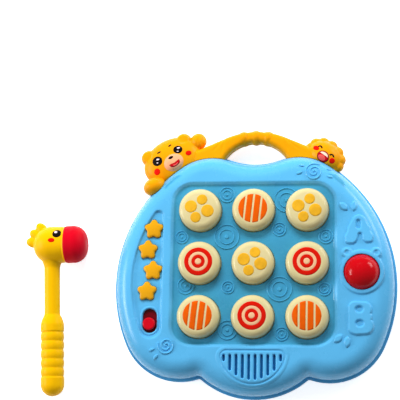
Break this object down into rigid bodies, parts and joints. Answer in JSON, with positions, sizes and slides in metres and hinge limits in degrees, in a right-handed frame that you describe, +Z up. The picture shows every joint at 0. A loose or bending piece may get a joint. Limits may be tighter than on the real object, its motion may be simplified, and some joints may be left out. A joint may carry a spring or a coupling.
{
  "type": "mole pounding game",
  "caption": "Flat scalloped toy board with sprung mole pads, star buttons, a power slider, a roller ball and an arched handle with animal heads, and its mallet.",
  "frame": {"origin": "on the table plane, on the flat underside of the middle rubber foot, straight below the middle pad", "axes": "+Z up out of the face, away from the table; +Y from the middle pad towards the carrying handle; +X to the right, towards the roller ball, away from the mallet"},
  "size_m": [0.3527, 0.2561, 0.0478],
  "materials": {
    "blue": "satin moulded",
    "yellow": "satin moulded",
    "cream": "smooth, slightly soft",
    "red": "glossy",
    "red soft": "soft moulded",
    "ball red": null,
    "ball clear": "clear plastic",
    "bead": "glossy",
    "white": "moulded",
    "steel": "zinc plated",
    "spring steel": "nickel plated",
    "green board": "lacquered board",
    "black resin": "cast",
    "switch black": "moulded",
    "lamp clear": "clear lamp",
    "cone": "pressed paper",
    "cell": "plain sleeve",
    "foot rubber": "soft moulded"
  },
  "bodies": {
    "board": {"top_shell": "blue", "bottom_shell": "blue", "handle_front": "yellow", "handle_back": "yellow", "handle_screws": "steel", "case_screws": "steel", "game_board": "green board", "side_board": "green board", "sound_chip": "black resin", "board_screws": "steel", "side_board_screws": "steel", "pad_switches": "switch black", "pad_lamps": "lamp clear", "pad_springs": "spring steel", "star_switches": "switch black", "power_switch": "switch black", "ball_cradle": "white", "cradle_screws": "steel", "speaker_frame": "spring steel", "speaker_cone": "cone", "speaker_magnet": "spring steel", "speaker_clamp": "white", "speaker_screws": "steel", "battery_cells": "cell", "contact_plates": "spring steel", "contact_springs": "spring steel", "rubber_feet": "foot rubber"},
    "pad_top_left": {"pad_top_left": "cream"},
    "pad_top_centre": {"pad_top_centre": "cream"},
    "pad_top_right": {"pad_top_right": "cream"},
    "pad_middle_left": {"pad_middle_left": "cream"},
    "pad_middle_centre": {"pad_middle_centre": "cream"},
    "pad_middle_right": {"pad_middle_right": "cream"},
    "pad_bottom_left": {"pad_bottom_left": "cream"},
    "pad_bottom_centre": {"pad_bottom_centre": "cream"},
    "pad_bottom_right": {"pad_bottom_right": "cream"},
    "star_button_1": {"star_button_1": "yellow"},
    "star_button_2": {"star_button_2": "yellow"},
    "star_button_3": {"star_button_3": "yellow"},
    "star_button_4": {"star_button_4": "yellow"},
    "slider": {"power_slider": "red"},
    "ball": {"ball_red_half": "ball red", "ball_clear_half": "ball clear", "ball_beads": "bead"},
    "door": {"battery_door": "blue", "door_screw": "steel"},
    "mallet": {"mallet_front": "yellow", "mallet_back": "yellow", "mallet_tip": "red soft", "mallet_screws": "steel"}
  },
  "joints": [
    {"name": "press_top_left", "type": "slide", "parent": "board", "child": "pad_top_left", "axis": [0, 0, -1], "range_m": [0, 0.0035], "stiffness_N_per_m": 400, "springref_m": -0.002, "deforming": ["pad_springs"]},
    {"name": "press_top_centre", "type": "slide", "parent": "board", "child": "pad_top_centre", "axis": [0, 0, -1], "range_m": [0, 0.0035], "stiffness_N_per_m": 400, "springref_m": -0.002, "deforming": ["pad_springs"]},
    {"name": "press_top_right", "type": "slide", "parent": "board", "child": "pad_top_right", "axis": [0, 0, -1], "range_m": [0, 0.0035], "stiffness_N_per_m": 400, "springref_m": -0.002, "deforming": ["pad_springs"]},
    {"name": "press_middle_left", "type": "slide", "parent": "board", "child": "pad_middle_left", "axis": [0, 0, -1], "range_m": [0, 0.0035], "stiffness_N_per_m": 400, "springref_m": -0.002, "deforming": ["pad_springs"]},
    {"name": "press_middle_centre", "type": "slide", "parent": "board", "child": "pad_middle_centre", "axis": [0, 0, -1], "range_m": [0, 0.0035], "stiffness_N_per_m": 400, "springref_m": -0.002, "deforming": ["pad_springs"]},
    {"name": "press_middle_right", "type": "slide", "parent": "board", "child": "pad_middle_right", "axis": [0, 0, -1], "range_m": [0, 0.0035], "stiffness_N_per_m": 400, "springref_m": -0.002, "deforming": ["pad_springs"]},
    {"name": "press_bottom_left", "type": "slide", "parent": "board", "child": "pad_bottom_left", "axis": [0, 0, -1], "range_m": [0, 0.0035], "stiffness_N_per_m": 400, "springref_m": -0.002, "deforming": ["pad_springs"]},
    {"name": "press_bottom_centre", "type": "slide", "parent": "board", "child": "pad_bottom_centre", "axis": [0, 0, -1], "range_m": [0, 0.0035], "stiffness_N_per_m": 400, "springref_m": -0.002, "deforming": ["pad_springs"]},
    {"name": "press_bottom_right", "type": "slide", "parent": "board", "child": "pad_bottom_right", "axis": [0, 0, -1], "range_m": [0, 0.0035], "stiffness_N_per_m": 400, "springref_m": -0.002, "deforming": ["pad_springs"]},
    {"name": "press_star_1", "type": "slide", "parent": "board", "child": "star_button_1", "axis": [0, 0, -1], "range_m": [0, 0.0015], "stiffness_N_per_m": 400, "springref_m": -0.001},
    {"name": "press_star_2", "type": "slide", "parent": "board", "child": "star_button_2", "axis": [0, 0, -1], "range_m": [0, 0.0015], "stiffness_N_per_m": 400, "springref_m": -0.001},
    {"name": "press_star_3", "type": "slide", "parent": "board", "child": "star_button_3", "axis": [0, 0, -1], "range_m": [0, 0.0015], "stiffness_N_per_m": 400, "springref_m": -0.001},
    {"name": "press_star_4", "type": "slide", "parent": "board", "child": "star_button_4", "axis": [0, 0, -1], "range_m": [0, 0.0015], "stiffness_N_per_m": 400, "springref_m": -0.001},
    {"name": "power_slide", "type": "slide", "parent": "board", "child": "slider", "axis": [0, 1, 0], "range_m": [0, 0.006]},
    {"name": "ball_roll", "type": "hinge", "parent": "board", "child": "ball", "pos_m": [0.0998, -0.0086, 0.03025], "axis": [0, 1, 0], "continuous": true},
    {"name": "door_swing", "type": "hinge", "parent": "board", "child": "door", "pos_m": [0, -0.08385, 0.0006], "axis": [-1, 0, 0], "range_deg": [0, 75]},
    {"name": "mallet_lift", "type": "slide", "parent": "board", "child": "mallet", "axis": [0, 0, 1], "range_m": [0, 0.15]}
  ]
}
